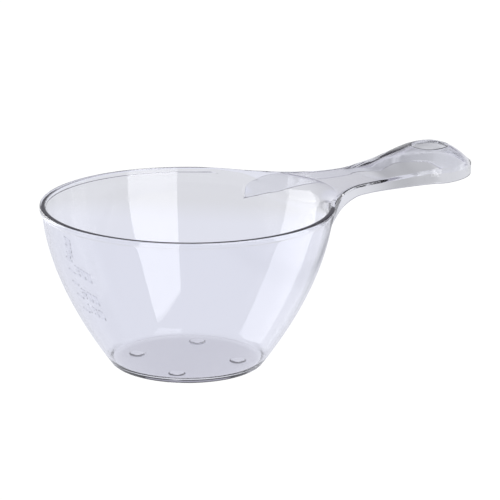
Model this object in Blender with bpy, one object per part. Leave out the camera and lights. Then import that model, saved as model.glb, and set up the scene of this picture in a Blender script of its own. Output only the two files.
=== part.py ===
"""Hair colour bowl: a clear moulded mixing bowl with an arched hanging handle.

Frame: +Z up, the feet stand on z = 0, the handle points along +X, and the origin is the middle of
the object's footprint, halfway between the far side of the lip and the handle's tip.
Lengths below are millimetres. Shapes are worked out with the bowl's axis at x = 0, and place()
moves each one to the frame above and turns it into metres. Heights are measured from the standing
plane, and the handle's crown and skirt from the rim plane.
"""
from math import asin, cos, pi, radians, sin, sqrt

import bmesh
import bpy
import numpy as np

MM = 0.001
GAP = 0.3  # between pieces that touch
WALL = 1.9  # wall thickness of the moulding

# Bowl
PIP_HEIGHT = 0.8
BASE_Z = PIP_HEIGHT  # underside of the floor
RIM_Z = 68.6
BASE_RADIUS = 31.6
NECK_RADIUS = 60.2  # outside of the wall, just under the lip
FLARE_POWER = 1.75  # how quickly the wall turns upright
FLOOR_THICKNESS = 2.0
LIP_RADIUS = 61.0
LIP_HEIGHT = 2.2
LIP_EDGE = 0.5  # rounding of the lip

# Handle: half width and crown height above the rim plane, along X
ROOT_ANGLE = radians(33.5)  # the lip ends here and the handle's root begins
ROOT_X = LIP_RADIUS * cos(ROOT_ANGLE)
NECK_X = 88.0
WIDE_X = 123.4
TIP_X = 147.0
HALF_WIDTHS = (
    (ROOT_X, LIP_RADIUS * sin(ROOT_ANGLE)),
    (54.2, 30.0),
    (57.5, 26.9),
    (60.4, 24.4),
    (63.0, 22.1),
    (66.3, 19.8),
    (71.5, 17.0),
    (76.0, 15.2),
    (81.0, 14.1),
    (NECK_X, 13.5),
    (98.0, 14.1),
    (108.0, 15.0),
    (116.0, 16.4),
    (121.0, 18.2),
    (WIDE_X, 18.5),
)
END_POWER = 1.9  # 2 would be a half ellipse; less is more pointed
AXIS_X = (LIP_RADIUS - TIP_X) / 2  # where the bowl's axis stands in the finished frame
CROWN_HEIGHTS = (
    (NECK_X, 0.0),
    (96.0, 2.4),
    (104.0, 4.1),
    (112.0, 6.6),
    (120.0, 8.1),
    (128.0, 9.2),
    (134.0, 8.6),
    (139.0, 5.7),
    (143.0, 1.8),
    (TIP_X, 0.0),
)
CROWN_START = 8.0  # over this length past the neck, the crown rises smoothly out of the flat web
SKIRT_DEPTH = 4.8
SKIRT_START_X = 57.0
TAIL_X = 78.0  # nearer the bowl than this, the skirt deepens into a tail
TAIL_LENGTH = 28.4
TAIL_DEPTH = 12.8
TAIL_LEAN = 0.3  # how far the tail's lower edge leans in, for each mm of extra depth
SADDLE = 10.0  # radius of the bend from the bowl's inside to the handle's top
EDGE_DROP = 2.4  # height of the bend where it runs out at the lip
HOLE_X = 127.0
HOLE_RADIUS = 7.8

# Feet
PIP_RADIUS = 3.6
PIP_FLAT = 2.5
PIP_CIRCLE = 21.5

# Scale on the outside of the wall, opposite the handle
SCALE_VOLUMES = (150, 200, 250, 300, 350, 400)  # millilitres
SCALE_RELIEF = 0.4
SCALE_ANGLE = radians(184.0)
SPINE_WIDTH = 0.7
TICK_LENGTH = 4.5
TICK_HEIGHT = 0.7

CLEAR = (0.86, 0.87, 0.92, 0.35)
CLEAR_GREY = (0.80, 0.80, 0.82, 0.35)
AROUND = 60  # segments round the bowl
ACROSS = 14  # segments across the handle


def smooth(points, at):
    """Reads a smooth curve through (x, value) points, with tangents from the neighbours."""
    xs = np.array([p[0] for p in points])
    ys = np.array([p[1] for p in points])
    slopes = np.gradient(ys, xs)
    at = min(max(at, xs[0]), xs[-1])
    i = min(int(np.searchsorted(xs, at, side="right")) - 1, len(xs) - 2)
    step = xs[i + 1] - xs[i]
    t = (at - xs[i]) / step
    start = (2 * t**3 - 3 * t**2 + 1) * ys[i] + (t**3 - 2 * t**2 + t) * step * slopes[i]
    end = (3 * t**2 - 2 * t**3) * ys[i + 1] + (t**3 - t**2) * step * slopes[i + 1]
    return float(start + end)


def outer_radius(z):
    """Outside of the bowl's wall at height z."""
    share = min(max((z - BASE_Z) / (RIM_Z - BASE_Z), 0.0), 1.0)
    return BASE_RADIUS + (NECK_RADIUS - BASE_RADIUS) * (1 - (1 - share) ** FLARE_POWER)


def inner_radius(z):
    return outer_radius(z) - WALL


def half_width(x):
    """Half width of the handle's outline at x."""
    if x <= WIDE_X:
        return smooth(HALF_WIDTHS, x)
    share = min((x - WIDE_X) / (TIP_X - WIDE_X), 1.0)
    return HALF_WIDTHS[-1][1] * (1 - share**END_POWER) ** (1 / END_POWER)


def crown(x):
    """Height of the handle's ridge above the rim plane at x."""
    t = min(max((x - NECK_X) / CROWN_START, 0.0), 1.0)
    return max(smooth(CROWN_HEIGHTS, x), 0.0) * t * t * (3 - 2 * t)


def arch(x, y, inset):
    """Height above the rim plane of the arched handle; inset is 0 for its top and WALL underneath."""
    width = max(half_width(x) - inset, 0.01)
    rise = sqrt(max(1 - (y / width) ** 2, 0.0))
    return crown(x) * rise - inset


def skirt_depth(x):
    """How far the handle's side wall reaches below the rim plane."""
    share = max((TAIL_X - x) / TAIL_LENGTH, 0.0)
    return SKIRT_DEPTH + (TAIL_DEPTH - SKIRT_DEPTH) * share**1.45


def root_bend(v):
    """Reach and drop of the root's bend at v, from the handle's middle (0) to its edge (1 or -1)."""
    middle = 1 - v * v
    lip_width = LIP_RADIUS - inner_radius(RIM_Z)
    return lip_width + (SADDLE - lip_width) * middle, EDGE_DROP + (SADDLE + 1 - EDGE_DROP) * middle


def seam_z(angle):
    """Top edge of the bowl's wall: under the lip, and under the bend where the root takes over."""
    if abs(angle) > ROOT_ANGLE:
        return RIM_Z - LIP_HEIGHT - GAP / 2
    drop = root_bend(sin(angle) / sin(ROOT_ANGLE))[1]
    return RIM_Z - drop - 2 * GAP


def clear_plastic(name, colour):
    material = bpy.data.materials.new(name)
    material.use_nodes = True
    shader = material.node_tree.nodes["Principled BSDF"]
    shader.inputs["Base Color"].default_value = colour
    shader.inputs["Roughness"].default_value = 0.05
    shader.inputs["Metallic"].default_value = 0.0
    shader.inputs["IOR"].default_value = 1.57
    shader.inputs["Transmission Weight"].default_value = 0.9
    return material


def add_object(name, mesh, colour):
    part = bpy.data.objects.new(name, mesh)
    bpy.context.scene.collection.objects.link(part)
    mesh.materials.append(clear_plastic(name + "_plastic", colour))
    mesh.shade_smooth()
    mesh.set_sharp_from_angle(angle=radians(35))
    return part


def place(bm):
    """Moves a shape from the bowl's axis to the finished frame and turns it into metres."""
    bmesh.ops.remove_doubles(bm, verts=bm.verts, dist=0.001)
    bmesh.ops.recalc_face_normals(bm, faces=bm.faces)
    bmesh.ops.translate(bm, verts=bm.verts, vec=(AXIS_X, 0, 0))
    bmesh.ops.scale(bm, verts=bm.verts, vec=(MM, MM, MM))


def add_mesh(name, bm, colour):
    place(bm)
    mesh = bpy.data.meshes.new(name)
    bm.to_mesh(mesh)
    bm.free()
    return add_object(name, mesh, colour)


def add_slab(bm, outer, inner, closed=False):
    """Adds a closed shell between two grids of points; closed joins each grid's last row to its first."""
    rows, columns = len(outer), len(outer[0])
    out = [[bm.verts.new(p) for p in row] for row in outer]
    inn = [[bm.verts.new(p) for p in row] for row in inner]
    last = rows if closed else rows - 1
    for i in range(last):
        k = (i + 1) % rows
        for j in range(columns - 1):
            bm.faces.new((out[i][j], out[k][j], out[k][j + 1], out[i][j + 1]))
            bm.faces.new((inn[i][j], inn[i][j + 1], inn[k][j + 1], inn[k][j]))
        bm.faces.new((out[i][0], inn[i][0], inn[k][0], out[k][0]))
        bm.faces.new((out[i][-1], out[k][-1], inn[k][-1], inn[i][-1]))
    if not closed:
        for j in range(columns - 1):
            bm.faces.new((out[0][j], out[0][j + 1], inn[0][j + 1], inn[0][j]))
            bm.faces.new((out[-1][j], inn[-1][j], inn[-1][j + 1], out[-1][j + 1]))


def polar(radius, angle, z):
    return (radius * cos(angle), radius * sin(angle), z)


def add_wall():
    outer, inner = [], []
    levels = 10
    for i in range(AROUND):
        angle = 2 * pi * i / AROUND - pi
        heights = [BASE_Z + (seam_z(angle) - BASE_Z) * j / levels for j in range(levels + 1)]
        outer.append([polar(outer_radius(z), angle, z) for z in heights])
        inner.append([polar(inner_radius(z), angle, z) for z in heights])
    bm = bmesh.new()
    add_slab(bm, outer, inner, closed=True)
    return add_mesh("bowl_wall", bm, CLEAR)


def add_floor():
    radius = inner_radius(BASE_Z) - GAP
    bm = bmesh.new()
    bmesh.ops.create_cone(
        bm, cap_ends=True, segments=AROUND, radius1=radius, radius2=radius, depth=FLOOR_THICKNESS
    )
    bmesh.ops.translate(bm, verts=bm.verts, vec=(0, 0, BASE_Z + FLOOR_THICKNESS / 2))
    return add_mesh("base_floor", bm, CLEAR_GREY)


def lip_section():
    """The lip's cross-section as (radius, height) points, going round it once."""
    low, high = RIM_Z - LIP_HEIGHT + GAP / 2, RIM_Z
    near, far = NECK_RADIUS - WALL, LIP_RADIUS
    turns = ((far, high, 0), (near, high, 90), (near, low, 180), (far, low, 270))
    section = []
    for radius, z, start in turns:
        centre_r = radius - LIP_EDGE if radius == far else radius + LIP_EDGE
        centre_z = z - LIP_EDGE if z == high else z + LIP_EDGE
        for step in (0, 45, 90):
            turn = radians(start + step)
            section.append((centre_r + LIP_EDGE * cos(turn), centre_z + LIP_EDGE * sin(turn)))
    return section


def add_lip():
    """The lip runs round the bowl and stops where the handle's root begins."""
    section = lip_section()
    start = ROOT_ANGLE + GAP / LIP_RADIUS
    steps = 44
    bm = bmesh.new()
    rings = []
    for i in range(steps + 1):
        angle = start + (2 * pi - 2 * start) * i / steps
        rings.append([bm.verts.new(polar(r, angle, z)) for r, z in section])
    count = len(section)
    for i in range(steps):
        for j in range(count):
            k = (j + 1) % count
            bm.faces.new((rings[i][j], rings[i + 1][j], rings[i + 1][k], rings[i][k]))
    bm.faces.new(rings[0])
    bm.faces.new(reversed(rings[-1]))
    return add_mesh("rim_lip", bm, CLEAR)


def saddle_line(v, inset):
    """One line of the saddle, up from the bowl's wall and over the bend; the last point is its end."""
    angle = asin(v * sin(ROOT_ANGLE))
    reach, drop = root_bend(v)
    foot = seam_z(angle) + GAP
    bend_z = RIM_Z - drop
    line = []
    for z in np.linspace(foot, bend_z, 3)[:-1]:
        line.append(polar(inner_radius(z) + inset, angle, z))
    centre = inner_radius(bend_z) + reach
    for turn in np.linspace(0, pi / 2, 6):
        radius = centre - (reach - inset) * cos(turn)
        line.append(polar(radius, angle, bend_z + (drop - inset) * sin(turn)))
    return line


def web_line(v, inset):
    """One line of the flat web, from the end of the saddle to the neck."""
    saddle_x, saddle_y, _ = saddle_line(v, inset)[-1]
    spare = abs(saddle_y / v) - HALF_WIDTHS[0][1] if v else 0.0
    end_x = NECK_X - GAP / 2
    start = GAP / (end_x - saddle_x)
    line = []
    for t in np.linspace(start, 1, 8):
        width = half_width(ROOT_X + (end_x - ROOT_X) * t) + spare * (1 - t) ** 2
        line.append((saddle_x + (end_x - saddle_x) * t, v * width, RIM_Z - inset))
    return line


def add_root():
    """The handle's root: a saddle that carries on the bowl's inside, and the flat web behind it."""
    across = [-1 + 2 * i / ACROSS for i in range(ACROSS + 1)]
    for name, section in (("handle_saddle", saddle_line), ("handle_web", web_line)):
        bm = bmesh.new()
        add_slab(bm, [section(v, 0.0) for v in across], [section(v, WALL) for v in across])
        add_mesh(name, bm, CLEAR)


def end_point(v):
    """A point of the handle's rounded end, from one side (-1) over the tip (0) to the other (1)."""
    turn = v * pi / 2
    power = 2 / END_POWER
    x = WIDE_X + (TIP_X - WIDE_X) * max(cos(turn), 0.0) ** power
    y = HALF_WIDTHS[-1][1] * abs(sin(turn)) ** power
    return x, y if v >= 0 else -y


def crown_line(v, inset):
    """One line of the arched handle, from the neck to its rounded end."""
    line = []
    start_x = NECK_X + GAP / 2
    bend_x = 112.0
    for x in np.linspace(start_x, bend_x, 7)[:-1]:
        y = v * half_width(x)
        line.append((x, y, RIM_Z + arch(x, y, inset)))
    end_x, end_y = end_point(v)
    for t in np.linspace(0, 1, 11):
        x = bend_x + (end_x - bend_x) * t
        y = v * half_width(x) + t * t * (end_y - v * half_width(end_x))
        line.append((x, y, RIM_Z + arch(x, y, inset)))
    return line


def add_crown():
    """The handle's arched top, with its hanging hole."""
    across = [-1 + 2 * i / ACROSS for i in range(ACROSS + 1)]
    bm = bmesh.new()
    add_slab(bm, [crown_line(v, 0.0) for v in across], [crown_line(v, WALL) for v in across])
    part = add_mesh("handle_crown", bm, CLEAR_GREY)
    cutter_mesh = bpy.data.meshes.new("hole_cutter")
    bm = bmesh.new()
    bmesh.ops.create_cone(
        bm, cap_ends=True, segments=32, radius1=HOLE_RADIUS, radius2=HOLE_RADIUS, depth=40
    )
    bmesh.ops.translate(bm, verts=bm.verts, vec=(HOLE_X, 0, RIM_Z + 10))
    place(bm)
    bm.to_mesh(cutter_mesh)
    bm.free()
    cutter = bpy.data.objects.new("hole_cutter", cutter_mesh)
    bpy.context.scene.collection.objects.link(cutter)
    cutter.hide_render = True
    cutter.display_type = "WIRE"
    cut = part.modifiers.new("hanging_hole", "BOOLEAN")
    cut.operation = "DIFFERENCE"
    cut.object = cutter
    return part


def clear_of_bowl(point, z):
    """Moves a point of the skirt's inside outwards until it clears the bowl and the root's bend."""
    x, y = point
    radius = sqrt(x * x + y * y)
    v = min(max(y / radius / sin(ROOT_ANGLE), -1.0), 1.0)
    reach, drop = root_bend(v)
    bend_z = RIM_Z - drop
    limit = outer_radius(z)
    if z > bend_z:
        rise = min((z - bend_z) / (drop - WALL), 1.0)
        limit = inner_radius(bend_z) + reach - (reach - WALL) * sqrt(1 - rise * rise)
    limit += GAP
    return (x, y) if radius >= limit else (x * limit / radius, y * limit / radius)


def add_skirt(name, outline):
    """A side wall under the handle's edge; outline runs with the handle's inside on its right."""
    outer, inner = [], []
    for i, (x, y) in enumerate(outline):
        ahead = outline[min(i + 1, len(outline) - 1)]
        behind = outline[max(i - 1, 0)]
        along = np.array(ahead) - np.array(behind)
        inward = np.array((along[1], -along[0])) / np.hypot(*along)
        depth = skirt_depth(x)
        outer_line, inner_line = [], []
        for share in (0.0, 0.35, 0.7, 1.0):
            below = WALL + GAP + (depth - WALL - GAP) * share
            lean = TAIL_LEAN * (depth - SKIRT_DEPTH) * share**2
            face = np.array((x, y)) + inward * lean
            back = clear_of_bowl(face + inward * WALL, RIM_Z - below)
            outer_line.append((face[0], face[1], RIM_Z - below))
            inner_line.append((back[0], back[1], RIM_Z - below))
        outer.append(outer_line)
        inner.append(inner_line)
    bm = bmesh.new()
    add_slab(bm, outer, inner)
    return add_mesh(name, bm, CLEAR_GREY)


def add_skirts():
    xs = np.linspace(SKIRT_START_X, WIDE_X - GAP, 22)
    add_skirt("skirt_left", [(x, half_width(x)) for x in xs])
    add_skirt("skirt_right", [(x, -half_width(x)) for x in reversed(xs)])
    nose = [end_point(v) for v in np.linspace(1, -1, 25)]
    nose[0] = (nose[0][0] + GAP / 2, nose[0][1])
    nose[-1] = (nose[-1][0] + GAP / 2, nose[-1][1])
    add_skirt("handle_nose", nose)


def add_feet():
    """Four low domed pips under the floor, on the diagonals."""
    section = ((PIP_FLAT, 0.0), (PIP_RADIUS - 0.4, 0.15), (PIP_RADIUS, PIP_HEIGHT - GAP))
    segments = 20
    for number in range(4):
        angle = radians(45 + 90 * number)
        bm = bmesh.new()
        rings = []
        for radius, z in section:
            turns = [2 * pi * i / segments for i in range(segments)]
            rings.append([bm.verts.new((radius * cos(t), radius * sin(t), z)) for t in turns])
        for low, high in zip(rings, rings[1:]):
            for i in range(segments):
                k = (i + 1) % segments
                bm.faces.new((low[i], low[k], high[k], high[i]))
        bm.faces.new(rings[0])
        bm.faces.new(rings[-1])
        bmesh.ops.translate(bm, verts=bm.verts, vec=polar(PIP_CIRCLE, angle, 0))
        add_mesh(f"foot_pip_{number + 1}", bm, CLEAR_GREY)


def fill_height(millilitres):
    """Height at which the bowl holds that much, added up in thin slices."""
    z = BASE_Z + FLOOR_THICKNESS
    volume = 0.0
    thickness = 0.05
    while volume < millilitres * 1000:
        volume += pi * inner_radius(z) ** 2 * thickness
        z += thickness
    return z


def add_scale():
    """A raised upright line on the wall with a tick at each volume, as one thin comb-shaped body."""
    arcs = (0.0, SPINE_WIDTH, TICK_LENGTH)
    heights = []
    for volume in SCALE_VOLUMES:
        z = fill_height(volume)
        heights += [z - TICK_HEIGHT / 2, z + TICK_HEIGHT / 2]
    bm = bmesh.new()
    corners = {}
    for i, arc in enumerate(arcs):
        for j, z in enumerate(heights):
            for layer, proud in enumerate((GAP, GAP + SCALE_RELIEF)):
                angle = SCALE_ANGLE + arc / outer_radius(z)
                corners[i, j, layer] = bm.verts.new(polar(outer_radius(z) + proud, angle, z))
    cells = {(i, j) for i in range(2) for j in range(len(heights) - 1) if i == 0 or j % 2 == 0}
    for i, j in cells:
        ring = ((i, j), (i + 1, j), (i + 1, j + 1), (i, j + 1))
        bm.faces.new([corners[c[0], c[1], 1] for c in ring])
        bm.faces.new([corners[c[0], c[1], 0] for c in reversed(ring)])
        beyond = ((i, j - 1), (i + 1, j), (i, j + 1), (i - 1, j))
        for side, neighbour in enumerate(beyond):
            if neighbour not in cells:
                a, b = ring[side], ring[(side + 1) % 4]
                bm.faces.new([corners[a[0], a[1], 0], corners[b[0], b[1], 0],
                              corners[b[0], b[1], 1], corners[a[0], a[1], 1]])
    add_mesh("volume_scale", bm, CLEAR_GREY)


for item in list(bpy.data.objects):
    bpy.data.objects.remove(item)

add_wall()
add_floor()
add_lip()
add_root()
add_crown()
add_skirts()
add_feet()
add_scale()
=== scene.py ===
"""Looks of the hair colour bowl: one clear moulding on a white sweep, lit by studio softboxes.

The moulding is worked out in millimetres with the bowl's axis at x = 0, and add_part moves it to
the CAD's frame. Its main sizes come from the CAD nodes' boxes. The inside of the bowl and the top of
the handle are one sheet of quads, the outside and the handle's underside another, and a strip over
the lip and the handle's skirt joins them all round.
"""
from math import asin, atan2, cos, hypot, pi, radians, sin, sqrt, tan

import bmesh
import bpy
import numpy as np
from mathutils import Matrix, Vector


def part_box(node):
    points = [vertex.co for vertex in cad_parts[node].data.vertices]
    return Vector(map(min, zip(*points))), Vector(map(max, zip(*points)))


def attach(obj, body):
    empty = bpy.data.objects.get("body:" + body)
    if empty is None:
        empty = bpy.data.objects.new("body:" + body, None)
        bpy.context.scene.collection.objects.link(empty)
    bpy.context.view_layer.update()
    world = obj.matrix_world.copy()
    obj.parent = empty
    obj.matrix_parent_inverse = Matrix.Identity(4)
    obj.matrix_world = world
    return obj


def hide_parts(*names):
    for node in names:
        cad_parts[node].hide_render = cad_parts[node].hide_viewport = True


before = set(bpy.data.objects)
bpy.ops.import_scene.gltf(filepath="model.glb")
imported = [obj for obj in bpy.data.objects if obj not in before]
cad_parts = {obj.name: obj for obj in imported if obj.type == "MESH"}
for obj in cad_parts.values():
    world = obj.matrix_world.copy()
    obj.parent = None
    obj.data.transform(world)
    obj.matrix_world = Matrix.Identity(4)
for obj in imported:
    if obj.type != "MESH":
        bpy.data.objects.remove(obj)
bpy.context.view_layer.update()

MM = 0.001


def box_mm(node):
    """A CAD node's box in millimetres."""
    low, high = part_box(node)
    return low / MM, high / MM


# Sizes that the CAD gives
lip_low, lip_high = box_mm("rim_lip")
nose_low, nose_high = box_mm("handle_nose")
floor_low, floor_high = box_mm("base_floor")
AXIS_X = (floor_low.x + floor_high.x) / 2
LIP_RADIUS = AXIS_X - lip_low.x
RIM_Z = lip_high.z
BASE_Z = floor_low.z
FLOOR_Z = floor_high.z
TIP_X = nose_high.x - AXIS_X
WIDE_Y = nose_high.y
SKIRT_DEPTH = RIM_Z - nose_low.z

# The moulding's own shape, in millimetres
WALL = 1.5  # thickness of the wall, the web and the handle
BASE_RADIUS = 31.6
NECK_RADIUS = LIP_RADIUS - 0.8  # outside of the wall, just under the lip
FLARE_POWER = 1.75  # how quickly the wall turns upright
LIP_HEIGHT = 2.2
EDGE_ROUND = 0.38  # rounding of the lip's and handle's upper edge
FOOT_ROUND = 0.18  # rounding of the lip's and skirt's lower edge
ROOT_ANGLE = radians(33.5)  # the lip ends here and the handle's root begins
ROOT_X = LIP_RADIUS * cos(ROOT_ANGLE)
NECK_X = 88.0
WIDE_X = 123.4
END_POWER = 1.9  # 2 would be a half ellipse; less is more pointed
CROWN_START = 8.0  # over this length past the neck, the crown rises smoothly out of the flat web
SADDLE = 10.0  # radius of the bend from the bowl's inside to the handle's top
EDGE_DROP = 1.1  # height of the same bend at the root's two edges
LIP_BLEND = radians(9.0)  # past the root, that bend shrinks to the lip's rounding over this much
UNDER_DROP = 9.0  # height and reach of the fillet under the root, at its edges
UNDER_REACH = 3.5
TAIL_X = 78.0  # nearer the bowl than this, the skirt deepens into a tail
TAIL_LENGTH = 28.4
TAIL_DEPTH = 12.8
TAIL_POWER = 1.45
TAIL_LEAN = 0.3  # how far the tail's lower edge leans in, for each mm of extra depth
FADE_ANGLE = radians(12.0)  # the tail fades into the lip over this much
FLOW_DELAY = 0.7  # share of FADE_ANGLE before the lip's lower edge begins to show
TAIL_FLOW = 0.45  # how smoothly the tail has run into the wall where the lip takes over
TAIL_MELT = 0.6  # share of FADE_ANGLE over which it goes the rest of the way
FLOW_POWER = 1.3  # more keeps the smooth run further out from the wall
HOLE_X = 127.0
HOLE_RADIUS = 7.8
HALF_WIDTHS = (  # (x, half width) of the handle's outline
    (ROOT_X, LIP_RADIUS * sin(ROOT_ANGLE)),
    (54.2, 30.0),
    (57.5, 26.9),
    (60.4, 24.4),
    (63.0, 22.1),
    (66.3, 19.8),
    (71.5, 17.0),
    (76.0, 15.2),
    (81.0, 14.1),
    (NECK_X, 13.5),
    (98.0, 14.1),
    (108.0, 15.0),
    (116.0, 16.4),
    (121.0, 18.2),
    (WIDE_X, WIDE_Y),
)
CROWN_HEIGHTS = (  # (x, height) of the handle's ridge above the rim plane
    (NECK_X, 0.0),
    (96.0, 2.4),
    (104.0, 4.1),
    (112.0, 6.6),
    (120.0, 8.1),
    (128.0, 9.2),
    (134.0, 8.6),
    (139.0, 5.7),
    (143.0, 1.8),
    (TIP_X, 0.0),
)

# Feet
PIP_CIRCLE = 21.5
PIP_SECTION = (  # (radius, height)
    (1.5, 0.0),
    (2.3, 0.08),
    (3.0, 0.28),
    (3.4, 0.55),
    (3.6, 0.85),
    (3.6, 1.4),
)

# Scale on the outside of the wall
SCALE_ANGLE = radians(180.0)
RELIEF = (0.03, 0.22)  # the marks' underside and face, out from the wall
TICKS = (31.6, 38.0, 43.8, 49.2, 54.3)  # heights that hold 150, 200, 250, 300 and 350 ml
TICK_CELL = (1.3, 0.75)  # width and height of one square of a glyph
NUMERAL_CELL = (0.72, 0.78)
NUMERAL_PITCH = 4.4  # from one numeral to the next, in squares
TICK_ARC = 2.0  # distance of the ticks' middle round the wall
MARK_SLOPE = -0.26  # rise of the rows of marks for each mm round the wall
NUMERALS = (  # (text, distance round the wall, height, turn in degrees)
    ("400", 3.0, 59.2, 90),
    ("300", 9.4, 49.4, 0),
    ("200", 9.0, 39.2, 0),
    ("150", 8.6, 32.4, 0),
)
GLYPHS = {
    "0": ("111", "101", "101", "101", "111"),
    "1": ("010", "010", "010", "010", "010"),
    "2": ("111", "001", "111", "100", "111"),
    "3": ("111", "001", "111", "001", "111"),
    "4": ("101", "101", "111", "001", "001"),
    "5": ("111", "100", "111", "001", "111"),
    "-": ("111",),
}

# Studio, in metres
WHITE_STRENGTH = 1.05  # table and backdrop where they are seen directly
TABLE_LIGHT = (0.82, 0.83, 0.90)
FAR_PAINTED_SHADE = (0.765, 0.77, 0.80)  # painted shade: the table is darker behind the bowl
FAR_SHADE_SIDE = (0.66, 0.75, 0.0)
FAR_SHADE_FROM = 0.19
FAR_SHADE_BLEND = 0.04
PAINTED_SHADE_SIDE = (0.82, -0.57, 0.0)  # painted shade: a darker band across the table on this side of the bowl, seen only through and in the plastic
PAINTED_SHADE_LEVELS = ((0.03, 1.0), (0.05, 0.92), (0.072, 0.60), (0.098, 0.85), (0.14, 0.95))  # distance, level
PAINTED_SHADOW_TONE = (0.745, 0.745, 0.80)  # painted shadow: the table is darker under the bowl's floor
PAINTED_SHADOW_RADIUS = 0.031
PAINTED_SHADOW_BLEND = 0.003
HORIZON_LIGHT = (0.80, 0.80, 0.85)
FRONT_LIGHT = (0.36, 0.35, 0.41)  # behind the camera
OVERHEAD_LIGHT = (0.33, 0.32, 0.39)
HORIZON_TOP = 0.12  # the backdrop begins to darken this far up, and is darkest at OVERHEAD_FROM
OVERHEAD_FROM = 0.34
CAMERA_SIDE = (-0.57, -0.82, 0.0)
FRONT_RANGE = (-0.2, 0.7)  # along CAMERA_SIDE
SOFTBOXES = (  # (name, azimuths in degrees, distance, heights, brightness)
    ("softbox_right", (-114, -69), 0.34, (0.002, 0.415), 2.3),
    ("softbox_left", (92, 138), 0.262, (0.002, 0.26), 1.8),
)
CAMERA_SPOT = (-0.61588, -0.86317, 0.348)
CAMERA_LOOK = (0.55103, 0.78696, -0.27759)
CAMERA_ROLL = radians(0.58)
CAMERA_LENS = 187.31  # millimetres, on a 36 mm sensor

# How finely the moulding is divided
WALL_LEVELS = 12
FLAT_SHARES = (0.2, 0.4, 0.6, 0.8)  # rings of the floor, as shares of its flat's radius
LIP_COLUMNS = 112
ROOT_COLUMNS = 24
EDGE_STEPS = 4
SADDLE_STEPS = 6
TAIL_STEPS = 6
CLIMB_STEPS = 4
BEND_STEPS = 5
WEB_STEPS = 10
NECK_STEPS = 10
END_STEPS = 14
BEND_X = 112.0  # past here the handle's rows bend round towards its end
PIP_SEGMENTS = 32
SHARES = [sin(radians(-90 + 180 * j / ROOT_COLUMNS)) for j in range(ROOT_COLUMNS + 1)]


def smooth(points, at):
    """Reads a smooth curve through (x, value) points, with tangents from the neighbours."""
    xs = np.array([p[0] for p in points])
    ys = np.array([p[1] for p in points])
    slopes = np.gradient(ys, xs)
    at = min(max(at, xs[0]), xs[-1])
    i = min(int(np.searchsorted(xs, at, side="right")) - 1, len(xs) - 2)
    step = xs[i + 1] - xs[i]
    t = (at - xs[i]) / step
    start = (2 * t**3 - 3 * t**2 + 1) * ys[i] + (t**3 - 2 * t**2 + t) * step * slopes[i]
    end = (3 * t**2 - 2 * t**3) * ys[i + 1] + (t**3 - t**2) * step * slopes[i + 1]
    return float(start + end)


def ease(t):
    t = min(max(t, 0.0), 1.0)
    return t * t * (3 - 2 * t)


def outer_radius(z):
    """Outside of the bowl's wall at height z."""
    share = min(max((z - BASE_Z) / (RIM_Z - BASE_Z), 0.0), 1.0)
    return BASE_RADIUS + (NECK_RADIUS - BASE_RADIUS) * (1 - (1 - share) ** FLARE_POWER)


def inner_radius(z):
    return outer_radius(z) - WALL


def half_width(x):
    """Half width of the handle's outline at x."""
    if x <= WIDE_X:
        return smooth(HALF_WIDTHS, x)
    share = min((x - WIDE_X) / (TIP_X - WIDE_X), 1.0)
    return WIDE_Y * (1 - share**END_POWER) ** (1 / END_POWER)


def crown(x):
    """Height of the handle's ridge above the rim plane at x."""
    return max(smooth(CROWN_HEIGHTS, x), 0.0) * ease((x - NECK_X) / CROWN_START)


def arch(x, y, inset):
    """Height above the rim plane of the arched handle; inset is 0 for its top and WALL underneath."""
    width = max(half_width(x) - inset, 0.01)
    rise = sqrt(max(1 - (y / width) ** 2, 0.0))
    return crown(x) * rise - inset


def skirt_depth(x):
    """How far the handle's side wall reaches below the rim plane."""
    share = max((TAIL_X - x) / TAIL_LENGTH, 0.0)
    return SKIRT_DEPTH + (TAIL_DEPTH - SKIRT_DEPTH) * share**TAIL_POWER


def lean_at(depth):
    """How far in the skirt's lower edge stands, where it reaches this deep."""
    return TAIL_LEAN * max(depth - SKIRT_DEPTH, 0.0)


def root_bend(angle):
    """Reach and drop of the bend at the top of the bowl's inside, in the root and round the lip."""
    edge_reach = LIP_RADIUS - EDGE_ROUND - inner_radius(RIM_Z - EDGE_DROP)
    if abs(angle) <= ROOT_ANGLE:
        middle = (1 - (sin(angle) / sin(ROOT_ANGLE)) ** 2) ** 1.5
        reach = edge_reach + (SADDLE - edge_reach) * middle
        return reach, EDGE_DROP + (SADDLE + 1 - EDGE_DROP) * middle
    fade = 1 - ease((abs(angle) - ROOT_ANGLE) / LIP_BLEND)
    lip = EDGE_ROUND + 0.1
    return lip + (edge_reach - lip) * fade, lip + (EDGE_DROP - lip) * fade


def under_bend(angle):
    """Reach and drop of the fillet between the outside of the bowl and the underside of the root."""
    middle = max(1 - (sin(angle) / sin(ROOT_ANGLE)) ** 2, 0.0) ** 1.5
    reach = UNDER_REACH + (SADDLE - WALL - UNDER_REACH) * middle
    return reach, UNDER_DROP + (SADDLE + 1 - UNDER_DROP) * middle


def bend_point(angle, turn):
    """A point of the bend: turn 0 is at the wall and turn 90 degrees is level with the rim."""
    reach, drop = root_bend(angle)
    low = RIM_Z - drop
    radius = inner_radius(low) + reach * (1 - cos(turn))
    return Vector((radius * cos(angle), radius * sin(angle), low + drop * sin(turn)))


def under_point(angle, turn):
    """A point of the fillet under the root: turn 0 is at the wall and 90 degrees is the web."""
    reach, drop = under_bend(angle)
    low = RIM_Z - drop
    radius = outer_radius(low) + reach * (1 - cos(turn))
    return Vector((radius * cos(angle), radius * sin(angle), low + (drop - WALL) * sin(turn)))


def polar(radius, angle, z):
    return Vector((radius * cos(angle), radius * sin(angle), z))


def end_point(turn):
    """A point of the handle's rounded end; turn runs from -90 degrees at one side to 90 at the other."""
    power = 2 / END_POWER
    x = WIDE_X + (TIP_X - WIDE_X) * max(cos(turn), 0.0) ** power
    y = WIDE_Y * abs(sin(turn)) ** power
    return Vector((x, y if turn >= 0 else -y))


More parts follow.
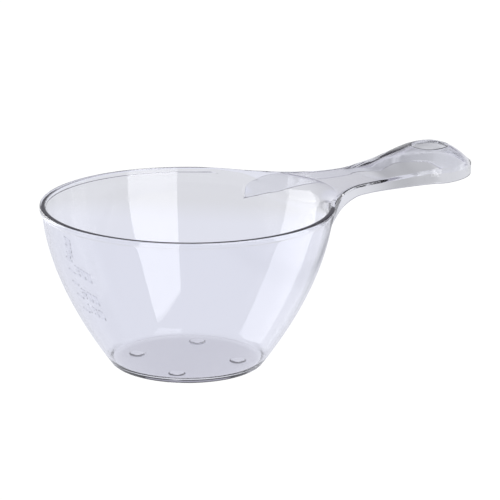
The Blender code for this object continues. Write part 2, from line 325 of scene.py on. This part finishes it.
def side_station(x):
    """Outline point and inward normal of the handle's left side at x."""
    slope = (half_width(x + 0.05) - half_width(x - 0.05)) / 0.1 if x < WIDE_X - 0.05 else 0.0
    if x - ROOT_X < 0.05:
        slope = -cos(ROOT_ANGLE) / sin(ROOT_ANGLE)
    size = hypot(1, slope)
    return Vector((x, half_width(x))), Vector((slope / size, -1 / size))


def nose_station(turn):
    """Outline point and inward normal of the handle's rounded end."""
    nudge = 0.01
    ahead = end_point(min(turn + nudge, pi / 2))
    behind = end_point(max(turn - nudge, -pi / 2))
    along = (ahead - behind).normalized()
    if abs(abs(turn) - pi / 2) < 1e-6:
        along = Vector((-1.0 if turn > 0 else 1.0, 0.0))
    return end_point(turn), Vector((-along.y, along.x))


def pocket_stations():
    """Side stations where the hollow under the root opens, at even turns of the bend."""
    xs = np.linspace(52, 80, 400)
    turns = []
    for x in xs:
        point, normal = side_station(x)
        inner = point + normal * WALL
        angle = atan2(inner.y, inner.x)
        reach, drop = under_bend(angle)
        turns.append((inner.length - outer_radius(RIM_Z - drop)) / reach)
    return [float(np.interp(1 - cos(pi / 2 * i / BEND_STEPS), turns, xs)) for i in range(BEND_STEPS + 1)]


class Outline:
    """The stations along the handle's left side, from the lip to the widest point."""

    def __init__(self):
        opening = pocket_stations()
        tail = np.linspace(ROOT_X, opening[0], TAIL_STEPS + 1)[:-1]
        web = np.linspace(opening[-1], NECK_X, WEB_STEPS + 1)[1:]
        neck = np.linspace(NECK_X, BEND_X, NECK_STEPS + 1)[1:]
        end = np.linspace(BEND_X, WIDE_X, END_STEPS + 1)[1:]
        self.xs = [float(x) for x in (*tail, *opening, *web, *neck, *end)]
        self.stations = [side_station(x) for x in self.xs]
        self.pocket = TAIL_STEPS
        self.web = TAIL_STEPS + BEND_STEPS
        self.neck = self.web + WEB_STEPS
        self.bend = self.neck + NECK_STEPS
        self.end = self.bend + END_STEPS

    def offset(self, k, distance):
        point, normal = self.stations[k]
        return point + normal * distance


def web_row(start_row, start_edge, edge, neck_edge):
    """A row of the flat web: start_row are the points where the web begins, the rest are edge points."""
    t = (edge.x - start_edge.x) / (neck_edge.x - start_edge.x)
    row = []
    for share, start in zip(SHARES, start_row):
        x = start.x + (neck_edge.x - start.x) * t
        spare = start.y / share - start_edge.y if abs(share) > 1e-6 else 0.0
        row.append((x, share * (edge.y + (1 - t) ** 2 * spare)))
    return row


def end_rows(outline, distance):
    """Rows of the arched handle past BEND_X, at a distance inside the outline."""
    rows = []
    ends = []
    for j in range(ROOT_COLUMNS + 1):
        point, normal = nose_station(pi * (j / ROOT_COLUMNS - 0.5))
        ends.append(point + normal * distance)
    for k in range(outline.bend + 1, outline.end + 1):
        t = (k - outline.bend) / END_STEPS
        row = []
        for share, end in zip(SHARES, ends):
            x = BEND_X + (end.x - BEND_X) * t
            width = max(half_width(x) - distance, 0.0)
            spare = end.y - share * max(half_width(end.x) - distance, 0.0)
            row.append((x, share * width + t * t * spare))
        rows.append(row)
    return rows


def skirt_profile(station, depth, step=None, flow=0.0):
    """Points from the upper edge's rounding over the skirt's outside to its lower edge's inside.

    Each is (x, y, height above the rim plane). With step, the lower edge runs in by that much onto
    the bowl's wall; without it, the skirt is WALL thick and hollow behind. With flow 1, there is no
    lower edge: the outside runs smoothly down into the wall."""
    point, normal = station
    spine = []
    for i in range(1, EDGE_STEPS + 1):
        t = sin(pi / 2 * i / EDGE_STEPS)
        inward = EDGE_ROUND * (1 - t)
        x, y = point + normal * inward
        spine.append((inward, max(arch(x, y, 0), 0.0) - EDGE_ROUND * (1 - sqrt(max(1 - t * t, 0)))))
    lean = lean_at(depth)
    face = depth - EDGE_ROUND - FOOT_ROUND
    for share in (1 / 3, 2 / 3, 1.0):
        spine.append((lean * share**2, -EDGE_ROUND - face * share))
    curve = FOOT_ROUND * (1 - cos(pi / 4))
    spine.append((lean + curve, -depth + curve))
    spine.append((lean + FOOT_ROUND, -depth))
    if step is None:
        spine.append((lean + WALL - FOOT_ROUND, -depth))
        spine.append((lean + WALL - curve, -depth + curve))
    else:
        fillet = min(FOOT_ROUND, step / 3)
        spine.append((lean + step - fillet, -depth))
        spine.append((lean + step - fillet * 0.3, -depth - fillet * 0.3))
        below = len(spine) - EDGE_STEPS
        for i in range(below):
            share = (i + 1) / (below + 1)
            smooth_in = (lean + step) * share**FLOW_POWER
            smooth_z = -EDGE_ROUND - (depth + FOOT_ROUND - EDGE_ROUND) * share
            inward, z = spine[EDGE_STEPS + i]
            spine[EDGE_STEPS + i] = (inward + (smooth_in - inward) * flow, z + (smooth_z - z) * flow)
    return [(*(point + normal * inward), z) for inward, z in spine]


def grid(bm, rows):
    """Quads between rows of vertices; a quad with a shared corner becomes a triangle."""
    for low, high in zip(rows, rows[1:]):
        for j in range(len(low) - 1):
            corners = []
            for vert in (low[j], low[j + 1], high[j + 1], high[j]):
                if vert not in corners:
                    corners.append(vert)
            if len(corners) > 2:
                bm.faces.new(corners)


def fan(bm, centre, ring):
    for a, b in zip(ring, ring[1:]):
        bm.faces.new((centre, a, b))


def corner(start, control, end, steps):
    """Points round a corner, as a quadratic curve, without its two ends."""
    points = []
    for i in range(1, steps):
        t = i / steps
        points.append(
            tuple((1 - t) ** 2 * a + 2 * t * (1 - t) * b + t * t * c
                  for a, b, c in zip(start, control, end))
        )
    return points


def bowl_section(radius_at, floor_z, bend):
    """The bowl's section below the rim as (radius, height) points, from the floor's edge upwards."""
    foot = (radius_at(floor_z), floor_z)
    start = (foot[0] - bend, floor_z)
    end = (radius_at(floor_z + bend * 0.9), floor_z + bend * 0.9)
    return [start, *corner(start, foot, end, 5), end]


def bore(bm, sheet, rows, columns, inset):
    """Opens the hanging hole in a sheet that lies inset below the handle's top; returns its edge."""
    (row0, row1), (col0, col1) = rows, columns
    for k in range(row0, row1):
        for j in range(col0, col1):
            face = bm.faces.get((sheet[k][j], sheet[k][j + 1], sheet[k + 1][j + 1], sheet[k + 1][j]))
            bm.faces.remove(face)
    for k in range(row0 + 1, row1):
        for j in range(col0 + 1, col1):
            bm.verts.remove(sheet[k][j])
    loop = [sheet[row0][j] for j in range(col0, col1)]
    loop += [sheet[k][col1] for k in range(row0, row1)]
    loop += [sheet[row1][j] for j in range(col1, col0, -1)]
    loop += [sheet[k][col0] for k in range(row1, row0, -1)]
    centre = Vector((HOLE_X, 0))
    first = loop[0].co.xy - centre
    start = atan2(first.y, first.x)
    rings = [loop]
    reach = HOLE_RADIUS + EDGE_ROUND
    for share in (0.4, 0.75, 1.0):
        ring = []
        for i, vert in enumerate(loop):
            turn = start - 2 * pi * i / len(loop)
            goal = centre + Vector((cos(turn), sin(turn))) * reach
            spot = vert.co.xy.lerp(goal, share)
            ring.append(bm.verts.new((spot.x, spot.y, RIM_Z + arch(spot.x, spot.y, inset))))
        rings.append(ring)
    grid(bm, [ring + [ring[0]] for ring in rings])
    return rings[-1]


def bore_wall(bm, top, bottom):
    """Joins the hole's upper and lower edge loops over rounded edges."""
    centre = Vector((HOLE_X, 0))
    bevel = 0.3 * EDGE_ROUND
    levels = (  # (spare radius, share of the way down, drop below that)
        (bevel, 0, bevel),
        (0, 0, EDGE_ROUND),
        (0, 0.5, 0),
        (0, 1, -EDGE_ROUND),
        (bevel, 1, -bevel),
    )
    rings = [top]
    for spare, share, drop in levels:
        ring = []
        for a, b in zip(top, bottom):
            x, y = centre + (a.co.xy - centre).normalized() * (HOLE_RADIUS + spare)
            ring.append(bm.verts.new((x, y, a.co.z + (b.co.z - a.co.z) * share - drop)))
        rings.append(ring)
    rings.append(bottom)
    grid(bm, [ring + [ring[0]] for ring in rings])


def add_part(name, bm):
    """Turns a shape worked out on the bowl's axis into an object in the CAD's frame."""
    bmesh.ops.recalc_face_normals(bm, faces=bm.faces)
    bmesh.ops.translate(bm, verts=bm.verts, vec=(AXIS_X, 0, 0))
    bmesh.ops.scale(bm, verts=bm.verts, vec=(MM, MM, MM))
    mesh = bpy.data.meshes.new(name)
    bm.to_mesh(mesh)
    bm.free()
    part = bpy.data.objects.new(name, mesh)
    bpy.context.scene.collection.objects.link(part)
    return part


def build_moulding():
    bm = bmesh.new()
    outline = Outline()

    def vert(point):
        return bm.verts.new(point)

    # Columns round the bowl: the root's first, then the lip's from one end of the root to the other
    root_angles = [asin(share * sin(ROOT_ANGLE)) for share in SHARES]
    span = 2 * pi - 2 * ROOT_ANGLE
    lip_angles = [ROOT_ANGLE + span * i / LIP_COLUMNS for i in range(1, LIP_COLUMNS)]

    # Inside of the bowl
    angles = root_angles + lip_angles
    rows = []
    section = bowl_section(inner_radius, FLOOR_Z, 2.2)
    for share in (*FLAT_SHARES, 0.93):
        rows.append([vert(polar(section[0][0] * share, a, FLOOR_Z)) for a in angles])
    for radius, z in section:
        rows.append([vert(polar(radius, a, z)) for a in angles])
    top = section[-1][1]
    for i in range(1, WALL_LEVELS + 1):
        row = []
        for a in angles:
            folded = a if a <= pi else a - 2 * pi
            z = top + (RIM_Z - root_bend(folded)[1] - top) * i / WALL_LEVELS
            row.append(vert(polar(inner_radius(z), a, z)))
        rows.append(row)
    for i in range(1, SADDLE_STEPS + 1):
        turn = pi / 2 * i / SADDLE_STEPS
        row = []
        for a in angles:
            folded = a if a <= pi else a - 2 * pi
            row.append(vert(bend_point(folded, turn)))
        rows.append(row)
    grid(bm, [row + [row[0]] for row in rows])
    fan(bm, vert((0, 0, FLOOR_Z)), rows[0] + [rows[0][0]])
    rim = rows[-1]
    root_rim, lip_rim = rim[: ROOT_COLUMNS + 1], rim[ROOT_COLUMNS + 1 :]
    crest = [vert(polar(LIP_RADIUS - EDGE_ROUND, a, RIM_Z)) for a in lip_angles]
    crest_edge = [root_rim[-1], *crest, root_rim[0]]
    grid(bm, [[root_rim[-1], *lip_rim, root_rim[0]], crest_edge])

    # Top of the handle
    top_rows = [root_rim]
    start_row = [v.co.xy for v in root_rim]
    start_edge = outline.offset(0, EDGE_ROUND)
    neck_edge = outline.offset(outline.neck, EDGE_ROUND)
    for k in range(1, outline.neck + 1):
        edge = outline.offset(k, EDGE_ROUND)
        row = web_row(start_row, start_edge, edge, neck_edge)
        top_rows.append([vert((x, y, RIM_Z)) for x, y in row])
    for k in range(outline.neck + 1, outline.bend + 1):
        edge = outline.offset(k, EDGE_ROUND)
        row = [(edge.x, share * edge.y) for share in SHARES]
        top_rows.append([vert((x, y, RIM_Z + arch(x, y, 0))) for x, y in row])
    for row in end_rows(outline, EDGE_ROUND):
        top_rows.append([vert((x, y, RIM_Z + arch(x, y, 0))) for x, y in row])
    grid(bm, top_rows)

    # Outside of the bowl, from the standing plane up to the lip, the tails and the pocket
    pocket_edge = outline.offset(outline.pocket, WALL)
    pocket_angle = atan2(pocket_edge.y, pocket_edge.x)
    pocket_angles = [asin(share * sin(pocket_angle)) for share in SHARES]
    tail_angles = []
    for k in range(TAIL_STEPS):
        point = outline.offset(k, WALL * k / TAIL_STEPS)
        tail_angles.append(atan2(point.y, point.x))
    depths = [skirt_depth(x) for x in outline.xs]
    pocket_level = RIM_Z - depths[outline.pocket]

    def lip_depth(angle):
        folded = abs(angle if angle <= pi else angle - 2 * pi)
        spare = (depths[0] - LIP_HEIGHT) * (1 - ease((folded - ROOT_ANGLE) / FADE_ANGLE))
        return LIP_HEIGHT + spare

    def lip_flow(angle):
        folded = abs(angle if angle <= pi else angle - 2 * pi)
        past = (folded - ROOT_ANGLE) / FADE_ANGLE
        melted = TAIL_FLOW + (1 - TAIL_FLOW) * ease(past / TAIL_MELT)
        return melted * (1 - ease(past - FLOW_DELAY))

    def step_in(angle, depth):
        """Wall point under the lip or tail."""
        z = RIM_Z - depth - FOOT_ROUND
        return polar(outer_radius(z), angle, z)

    level = []
    around = []
    for a in pocket_angles:
        level.append(vert(polar(outer_radius(pocket_level), a, pocket_level)))
        around.append(a)
    for k in range(TAIL_STEPS - 1, -1, -1):
        level.append(vert(step_in(tail_angles[k], depths[k])))
        around.append(tail_angles[k])
    for a in lip_angles:
        level.append(vert(step_in(a, lip_depth(a))))
        around.append(a)
    for k in range(TAIL_STEPS):
        level.append(vert(step_in(-tail_angles[k], depths[k])))
        around.append(-tail_angles[k])
    section = bowl_section(outer_radius, BASE_Z, 1.3)
    wall_rows = []
    for share in (*FLAT_SHARES, 0.95):
        wall_rows.append([vert(polar(section[0][0] * share, a, BASE_Z)) for a in around])
    for radius, z in section:
        wall_rows.append([vert(polar(radius, a, z)) for a in around])
    low = section[-1][1]
    for i in range(1, WALL_LEVELS):
        row = []
        for a, end in zip(around, level):
            z = low + (end.co.z - low) * i / WALL_LEVELS
            row.append(vert(polar(outer_radius(z), a, z)))
        wall_rows.append(row)
    wall_rows.append(level)
    grid(bm, [row + [row[0]] for row in wall_rows])
    fan(bm, vert((0, 0, BASE_Z)), wall_rows[0] + [wall_rows[0][0]])

    # Pocket: the wall behind the root, the underside of the bend, the web and the arch
    columns = ROOT_COLUMNS + 1
    under_rows = [level[:columns]]
    for i in range(1, CLIMB_STEPS + 1):
        row = []
        for a in pocket_angles:
            z = pocket_level + (RIM_Z - under_bend(a)[1] - pocket_level) * i / CLIMB_STEPS
            row.append(vert(polar(outer_radius(z), a, z)))
        under_rows.append(row)
    grid(bm, under_rows)
    corner_left = [row[-1] for row in under_rows]
    corner_right = [row[0] for row in under_rows]
    ceiling = [under_rows[-1]]
    for i in range(1, BEND_STEPS + 1):
        edge = outline.offset(outline.pocket + i, WALL)
        reach = atan2(edge.y, edge.x)
        row = [under_point(asin(s * sin(reach)), pi / 2 * i / BEND_STEPS) for s in SHARES]
        ceiling.append([vert(p) for p in row])
    start_row = [v.co.xy for v in ceiling[-1]]
    start_edge = start_row[-1]
    neck_edge = outline.offset(outline.neck, WALL)
    for k in range(outline.web + 1, outline.neck + 1):
        row = web_row(start_row, start_edge, outline.offset(k, WALL), neck_edge)
        ceiling.append([vert((x, y, RIM_Z - WALL)) for x, y in row])
    for k in range(outline.neck + 1, outline.bend + 1):
        edge = outline.offset(k, WALL)
        row = [(edge.x, share * edge.y) for share in SHARES]
        ceiling.append([vert((x, y, RIM_Z + arch(x, y, WALL))) for x, y in row])
    for row in end_rows(outline, WALL):
        ceiling.append([vert((x, y, RIM_Z + arch(x, y, WALL))) for x, y in row])
    grid(bm, ceiling)

    # Strip over the lip and the skirts
    def strip_verts(station, depth, step=None, flow=0.0):
        return [vert((x, y, RIM_Z + z)) for x, y, z in skirt_profile(station, depth, step, flow)]

    def lip_station(angle):
        outward = Vector((cos(angle), sin(angle)))
        return LIP_RADIUS * outward, -outward

    def mirrored(station):
        point, normal = station
        return Vector((point.x, -point.y)), Vector((normal.x, -normal.y))

    def inner_face(first, last):
        """Vertices up the skirt's inside, between its lower edge and the ceiling."""
        return [vert(first.co.lerp(last.co, share)) for share in (0.25, 0.5, 0.75)]

    def solid_column(crest_vert, station, depth, foot, flow):
        step = (foot.co.xy - station[0]).length - lean_at(depth)
        return [crest_vert, *strip_verts(station, depth, step, flow), foot]

    def hollow_column(crest_vert, station, depth, ceiling_vert):
        column = [crest_vert, *strip_verts(station, depth)]
        point, normal = station
        spot = point + normal * (lean_at(depth) + WALL)
        foot = vert((spot.x, spot.y, RIM_Z - depth + FOOT_ROUND))
        return [*column, foot, *inner_face(foot, ceiling_vert), ceiling_vert]

    def pocket_column(crest_vert, station, depth, corner_line):
        step = (corner_line[0].co.xy - station[0]).length - lean_at(depth)
        return [crest_vert, *strip_verts(station, depth, step), *corner_line]

    solid = []
    first_level = columns + TAIL_STEPS
    for i, a in enumerate(lip_angles):
        foot = level[first_level + i]
        solid.append(solid_column(crest[i], lip_station(a), lip_depth(a), foot, lip_flow(a)))
    left_tail, right_tail = [], []
    for k in range(TAIL_STEPS):
        station = outline.stations[k]
        flow = TAIL_FLOW * (1 - ease(k / TAIL_STEPS))
        foot = level[columns + TAIL_STEPS - 1 - k]
        left_tail.append(solid_column(top_rows[k][-1], station, depths[k], foot, flow))
        foot = level[first_level + LIP_COLUMNS - 1 + k]
        right_tail.append(solid_column(top_rows[k][0], mirrored(station), depths[k], foot, flow))
    k = outline.pocket
    station = outline.stations[k]
    left_corner = pocket_column(top_rows[k][-1], station, depths[k], corner_left)
    right_corner = pocket_column(top_rows[k][0], mirrored(station), depths[k], corner_right)
    solid_length = len(solid[0])
    ordered = [
        left_corner[:solid_length],
        *reversed(left_tail),
        *solid,
        *right_tail,
        right_corner[:solid_length],
    ]
    grid(bm, ordered)
    hollow = [left_corner]
    for k in range(outline.pocket + 1, outline.end):
        under = ceiling[k - outline.pocket][-1]
        hollow.append(hollow_column(top_rows[k][-1], outline.stations[k], depths[k], under))
    for j in range(ROOT_COLUMNS, -1, -1):
        station = nose_station(pi * (j / ROOT_COLUMNS - 0.5))
        hollow.append(hollow_column(top_rows[-1][j], station, SKIRT_DEPTH, ceiling[-1][j]))
    for k in range(outline.end - 1, outline.pocket, -1):
        under = ceiling[k - outline.pocket][0]
        hollow.append(hollow_column(top_rows[k][0], mirrored(outline.stations[k]), depths[k], under))
    hollow.append(right_corner)
    grid(bm, hollow)

    # Hanging hole, in the rows and columns of each sheet that lie round it
    middle = ROOT_COLUMNS // 2
    cut = (middle - 5, middle + 5)
    first = outline.bend + 2
    last = outline.bend + 10
    shift = outline.pocket
    upper = bore(bm, top_rows, (first, last), cut, 0)
    lower = bore(bm, ceiling, (first - shift, last - shift), cut, WALL)
    bore_wall(bm, upper, lower)

    return add_part("bowl_moulding", bm)


def add_pips(bm):
    """Four low domed feet, reaching up into the floor."""
    for number in range(4):
        foot = polar(PIP_CIRCLE, radians(45 + 90 * number), 0)
        rings = []
        for radius, z in PIP_SECTION:
            turns = [2 * pi * i / PIP_SEGMENTS for i in range(PIP_SEGMENTS)]
            rings.append([bm.verts.new(foot + polar(radius, t, z)) for t in turns])
        grid(bm, [ring + [ring[0]] for ring in rings])
        bm.faces.new(rings[0])
        bm.faces.new(rings[-1])


def add_glyph(bm, glyph, cell, spot):
    """A raised glyph on the wall; spot(u, v) gives the arc and height of a point of it."""
    rows = GLYPHS[glyph]
    cells = {(i, -j) for j, row in enumerate(rows) for i, mark in enumerate(row) if mark == "1"}
    corners = {}

    def corner_at(i, j, layer):
        if (i, j, layer) not in corners:
            arc, z = spot((i - 1.5) * cell[0], (j - 1 + len(rows) / 2) * cell[1])
            radius = outer_radius(z) + RELIEF[layer]
            corners[i, j, layer] = bm.verts.new(polar(radius, SCALE_ANGLE + arc / outer_radius(z), z))
        return corners[i, j, layer]

    for i, j in sorted(cells):
        ring = ((i, j), (i + 1, j), (i + 1, j + 1), (i, j + 1))
        bm.faces.new([corner_at(*c, 1) for c in ring])
        bm.faces.new([corner_at(*c, 0) for c in reversed(ring)])
        beyond = ((i, j - 1), (i + 1, j), (i, j + 1), (i - 1, j))
        for side, neighbour in enumerate(beyond):
            if neighbour not in cells:
                a, b = ring[side], ring[(side + 1) % 4]
                bm.faces.new((corner_at(*a, 0), corner_at(*b, 0), corner_at(*b, 1), corner_at(*a, 1)))


def build_marks():
    """The volume scale: a tick for each volume, and the numerals."""
    bm = bmesh.new()
    for z in TICKS:
        add_glyph(bm, "-", TICK_CELL, lambda u, v: (u + TICK_ARC, z + v + MARK_SLOPE * u))
    for text, arc, z, turn in NUMERALS:
        for place, glyph in enumerate(text):
            shift = (place - 1) * NUMERAL_PITCH * NUMERAL_CELL[0]

            def spot(u, v):
                along = u + shift
                x = along * cos(radians(turn)) - v * sin(radians(turn))
                y = along * sin(radians(turn)) + v * cos(radians(turn))
                return arc + x, z + y + MARK_SLOPE * x

            add_glyph(bm, glyph, NUMERAL_CELL, spot)
    return add_part("volume_marks", bm)


def join_pips(moulding):
    """Rounds the moulding off and joins the feet to it as one closed surface."""
    bm = bmesh.new()
    add_pips(bm)
    pips = add_part("pips", bm)
    refine = moulding.modifiers.new("refine", "SUBSURF")
    refine.levels = 1
    refine.render_levels = 1
    join = moulding.modifiers.new("join", "BOOLEAN")
    join.operation = "UNION"
    join.solver = "EXACT"
    join.object = pips
    depsgraph = bpy.context.evaluated_depsgraph_get()
    whole = bpy.data.meshes.new_from_object(moulding.evaluated_get(depsgraph))
    moulding.modifiers.clear()
    moulding.data = whole
    bpy.data.objects.remove(pips)
    whole.shade_smooth()
    whole.set_sharp_from_angle(angle=radians(40))


def clear_plastic():
    material = bpy.data.materials.new("clear_plastic")
    material.use_nodes = True
    nodes, links = material.node_tree.nodes, material.node_tree.links
    shader = nodes["Principled BSDF"]
    shader.inputs["Base Color"].default_value = (0.955, 0.96, 0.985, 1)
    shader.inputs["Transmission Weight"].default_value = 1.0
    shader.inputs["IOR"].default_value = 1.5
    shader.inputs["Roughness"].default_value = 0.02
    place = nodes.new("ShaderNodeTexCoord")
    ripple = nodes.new("ShaderNodeTexNoise")
    ripple.inputs["Scale"].default_value = 60.0
    ripple.inputs["Detail"].default_value = 1.0
    links.new(place.outputs["Object"], ripple.inputs["Vector"])
    bump = nodes.new("ShaderNodeBump")
    bump.inputs["Strength"].default_value = 0.03
    bump.inputs["Distance"].default_value = 0.0005
    links.new(ripple.outputs["Fac"], bump.inputs["Height"])
    links.new(bump.outputs["Normal"], shader.inputs["Normal"])
    return material


def seen_directly(nodes, links, direct, other):
    """One surface where it is seen directly, and another in reflections and through the plastic."""
    path = nodes.new("ShaderNodeLightPath")
    mix = nodes.new("ShaderNodeMixShader")
    links.new(path.outputs["Is Camera Ray"], mix.inputs["Fac"])
    links.new(other, mix.inputs[1])
    links.new(direct, mix.inputs[2])
    return mix.outputs["Shader"]


def studio_floor():
    """A white table, wide enough to reach past every view of the bowl."""
    bm = bmesh.new()
    bmesh.ops.create_circle(bm, cap_ends=True, segments=64, radius=6.0)
    mesh = bpy.data.meshes.new("studio_floor")
    bm.to_mesh(mesh)
    bm.free()
    floor = bpy.data.objects.new("studio_floor", mesh)
    bpy.context.scene.collection.objects.link(floor)
    material = bpy.data.materials.new("floor_paint")
    material.use_nodes = True
    nodes, links = material.node_tree.nodes, material.node_tree.links
    nodes.remove(nodes["Principled BSDF"])
    white = nodes.new("ShaderNodeEmission")
    white.inputs["Strength"].default_value = WHITE_STRENGTH
    pale = nodes.new("ShaderNodeEmission")
    place = nodes.new("ShaderNodeTexCoord")
    # Painted shade: the table is darker on the far side of the bowl, seen only through and in the
    # plastic
    away = nodes.new("ShaderNodeVectorMath")
    away.operation = "DOT_PRODUCT"
    away.inputs[1].default_value = FAR_SHADE_SIDE
    links.new(place.outputs["Object"], away.inputs[0])
    far_shade = nodes.new("ShaderNodeMapRange")
    far_shade.inputs["From Min"].default_value = FAR_SHADE_FROM
    far_shade.inputs["From Max"].default_value = FAR_SHADE_FROM + FAR_SHADE_BLEND
    links.new(away.outputs["Value"], far_shade.inputs["Value"])
    table = nodes.new("ShaderNodeMix")
    table.data_type = "RGBA"
    table.inputs["A"].default_value = (*TABLE_LIGHT, 1)
    table.inputs["B"].default_value = (*FAR_PAINTED_SHADE, 1)
    links.new(far_shade.outputs["Result"], table.inputs["Factor"])
    # Painted shade: a darker band across the table to one side of the bowl, by distance along that side
    along = nodes.new("ShaderNodeVectorMath")
    along.operation = "DOT_PRODUCT"
    along.inputs[1].default_value = PAINTED_SHADE_SIDE
    links.new(place.outputs["Object"], along.inputs[0])
    shade_band = nodes.new("ShaderNodeValToRGB")
    ramp = shade_band.color_ramp
    while len(ramp.elements) < len(PAINTED_SHADE_LEVELS):
        ramp.elements.new(1.0)
    for stop, (distance, level) in zip(ramp.elements, PAINTED_SHADE_LEVELS):
        stop.position = distance
        stop.color = (level, level, level, 1)
    links.new(along.outputs["Value"], shade_band.inputs["Fac"])
    shaded_table = nodes.new("ShaderNodeMix")
    shaded_table.data_type = "RGBA"
    shaded_table.blend_type = "MULTIPLY"
    shaded_table.inputs["Factor"].default_value = 1.0
    links.new(table.outputs["Result"], shaded_table.inputs["A"])
    links.new(shade_band.outputs["Color"], shaded_table.inputs["B"])
    # Painted shadow: a darker disc on the table round the bowl's axis, under its floor, seen only
    # through the plastic
    reach = nodes.new("ShaderNodeVectorMath")
    reach.operation = "DISTANCE"
    reach.inputs[1].default_value = (AXIS_X * MM, 0, 0)
    links.new(place.outputs["Object"], reach.inputs[0])
    shade = nodes.new("ShaderNodeMapRange")
    shade.interpolation_type = "SMOOTHSTEP"
    shade.inputs["From Min"].default_value = PAINTED_SHADOW_RADIUS - PAINTED_SHADOW_BLEND
    shade.inputs["From Max"].default_value = PAINTED_SHADOW_RADIUS + PAINTED_SHADOW_BLEND
    links.new(reach.outputs["Value"], shade.inputs["Value"])
    under = nodes.new("ShaderNodeMix")
    under.data_type = "RGBA"
    under.inputs["A"].default_value = (*PAINTED_SHADOW_TONE, 1)
    links.new(shade.outputs["Result"], under.inputs["Factor"])
    links.new(shaded_table.outputs["Result"], under.inputs["B"])
    links.new(under.outputs["Result"], pale.inputs["Color"])
    surface = seen_directly(nodes, links, white.outputs["Emission"], pale.outputs["Emission"])
    links.new(surface, nodes["Material Output"].inputs["Surface"])
    mesh.materials.append(material)
    return floor


def studio_world():
    """Pale round the horizon, darker overhead and behind the camera, and white to the camera."""
    world = bpy.data.worlds.new("studio")
    world.use_nodes = True
    nodes, links = world.node_tree.nodes, world.node_tree.links
    room = nodes["Background"]
    white = nodes.new("ShaderNodeBackground")
    white.inputs["Color"].default_value = (1, 1, 1, 1)
    white.inputs["Strength"].default_value = WHITE_STRENGTH
    place = nodes.new("ShaderNodeTexCoord")
    split = nodes.new("ShaderNodeSeparateXYZ")
    links.new(place.outputs["Generated"], split.inputs["Vector"])
    height = nodes.new("ShaderNodeMapRange")
    height.interpolation_type = "SMOOTHSTEP"
    height.inputs["From Min"].default_value = HORIZON_TOP
    height.inputs["From Max"].default_value = OVERHEAD_FROM
    links.new(split.outputs["Z"], height.inputs["Value"])
    facing = nodes.new("ShaderNodeVectorMath")
    facing.operation = "DOT_PRODUCT"
    facing.inputs[1].default_value = CAMERA_SIDE
    links.new(place.outputs["Generated"], facing.inputs[0])
    behind = nodes.new("ShaderNodeMapRange")
    behind.interpolation_type = "SMOOTHSTEP"
    behind.inputs["From Min"].default_value = FRONT_RANGE[0]
    behind.inputs["From Max"].default_value = FRONT_RANGE[1]
    links.new(facing.outputs["Value"], behind.inputs["Value"])
    front = nodes.new("ShaderNodeMix")
    front.data_type = "RGBA"
    front.inputs["A"].default_value = (*HORIZON_LIGHT, 1)
    front.inputs["B"].default_value = (*FRONT_LIGHT, 1)
    links.new(behind.outputs["Result"], front.inputs["Factor"])
    dome = nodes.new("ShaderNodeMix")
    dome.data_type = "RGBA"
    dome.inputs["B"].default_value = (*OVERHEAD_LIGHT, 1)
    links.new(height.outputs["Result"], dome.inputs["Factor"])
    links.new(front.outputs["Result"], dome.inputs["A"])
    links.new(dome.outputs["Result"], room.inputs["Color"])
    surface = seen_directly(nodes, links, white.outputs["Background"], room.outputs["Background"])
    links.new(surface, nodes["World Output"].inputs["Surface"])
    bpy.context.scene.world = world


def softbox(name, azimuths, distance, heights, brightness):
    """An upright softbox facing the bowl's axis, between two azimuths in degrees."""
    light = bpy.data.lights.new(name, "AREA")
    light.shape = "RECTANGLE"
    middle = radians(sum(azimuths) / 2)
    half = radians(azimuths[1] - azimuths[0]) / 2
    light.size = 2 * distance * tan(half)
    light.size_y = heights[1] - heights[0]
    light.energy = brightness * pi * light.size * light.size_y
    box = bpy.data.objects.new(name, light)
    axis = Vector((AXIS_X * MM, 0, sum(heights) / 2))
    box.location = axis + Vector((cos(middle), sin(middle), 0)) * distance
    box.rotation_euler = (axis - box.location).to_track_quat("-Z", "Y").to_euler()
    box.visible_camera = False
    bpy.context.scene.collection.objects.link(box)


def add_camera():
    data = bpy.data.cameras.new("camera")
    data.lens = CAMERA_LENS
    data.sensor_width = 36
    data.clip_start = 0.01
    data.clip_end = 20
    camera = bpy.data.objects.new("camera", data)
    look = Vector(CAMERA_LOOK).normalized()
    level = look.cross(Vector((0, 0, 1))).normalized()
    upright = level.cross(look)
    right = cos(CAMERA_ROLL) * level + sin(CAMERA_ROLL) * upright
    up = -sin(CAMERA_ROLL) * level + cos(CAMERA_ROLL) * upright
    turn = Matrix((right, up, -look)).transposed()
    camera.rotation_mode = "QUATERNION"
    camera.rotation_quaternion = turn.to_quaternion()
    camera.location = CAMERA_SPOT
    bpy.context.scene.collection.objects.link(camera)
    bpy.context.scene.camera = camera


moulding = build_moulding()
join_pips(moulding)
plastic = clear_plastic()
moulding.data.materials.append(plastic)
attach(moulding, "root")
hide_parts(*(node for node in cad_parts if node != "volume_scale"))

marks = build_marks()
marks.data.materials.append(plastic)
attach(marks, "root")
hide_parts("volume_scale")

studio_floor()
add_camera()

studio_world()
for box in SOFTBOXES:
    softbox(*box)
bpy.context.scene.view_settings.view_transform = "Standard"
